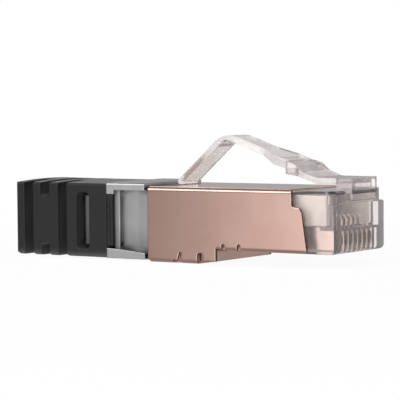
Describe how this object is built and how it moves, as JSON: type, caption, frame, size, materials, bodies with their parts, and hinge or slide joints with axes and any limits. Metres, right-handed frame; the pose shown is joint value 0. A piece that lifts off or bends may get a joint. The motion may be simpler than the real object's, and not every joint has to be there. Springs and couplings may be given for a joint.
{
  "type": "shielded rj45 modular plug",
  "caption": "Shielded modular plug with clear nose, contact comb, hoop latch, folded metal shell, cast crimp ferrule and slotted strain-relief boot.",
  "frame": {"origin": "mid-width, on the front datum face of the nose, at the level of the nose's underside", "axes": "+X out of the nose along the way the plug goes into a jack, +Z towards the latch, Y across the width"},
  "size_m": [0.0436, 0.0116, 0.0142],
  "materials": {
    "clear_polycarbonate": "clear, glossy as moulded",
    "natural_polycarbonate": "translucent, as moulded",
    "copper_plated_sheet": "bright copper plating on folded sheet",
    "satin_diecast": "satin, as cast and plated",
    "black_elastomer": "fine matt, as moulded",
    "gold_plated_bronze": "gold plated, polished"
  },
  "bodies": {
    "plug": {"plug_housing": "clear_polycarbonate", "load_bar": "natural_polycarbonate", "shield_shell": "copper_plated_sheet", "crimp_ferrule": "satin_diecast", "strain_relief_boot": "black_elastomer", "contact_1": "gold_plated_bronze", "contact_2": "gold_plated_bronze", "contact_3": "gold_plated_bronze", "contact_4": "gold_plated_bronze", "contact_5": "gold_plated_bronze", "contact_6": "gold_plated_bronze", "contact_7": "gold_plated_bronze", "contact_8": "gold_plated_bronze"},
    "latch": {"latch_lever": "clear_polycarbonate"},
    "hoop_leg": {"latch_leg": "clear_polycarbonate"}
  },
  "joints": [
    {"name": "latch_press", "type": "hinge", "parent": "plug", "child": "latch", "pos_m": [-0.00142, 0, 0.00778], "axis": [0, -1, 0], "range_deg": [0, 8], "stiffness_Nm_per_rad": 0.3},
    {"name": "hoop_flex", "type": "hinge", "parent": "latch", "child": "hoop_leg", "pos_m": [-0.0175, 0, 0.01154], "axis": [0, -1, 0], "range_deg": [-32.6, 0]}
  ],
  "couplings": [
    {"joint": "hoop_flex", "follows": "latch_press", "ratio": -4.05}
  ]
}
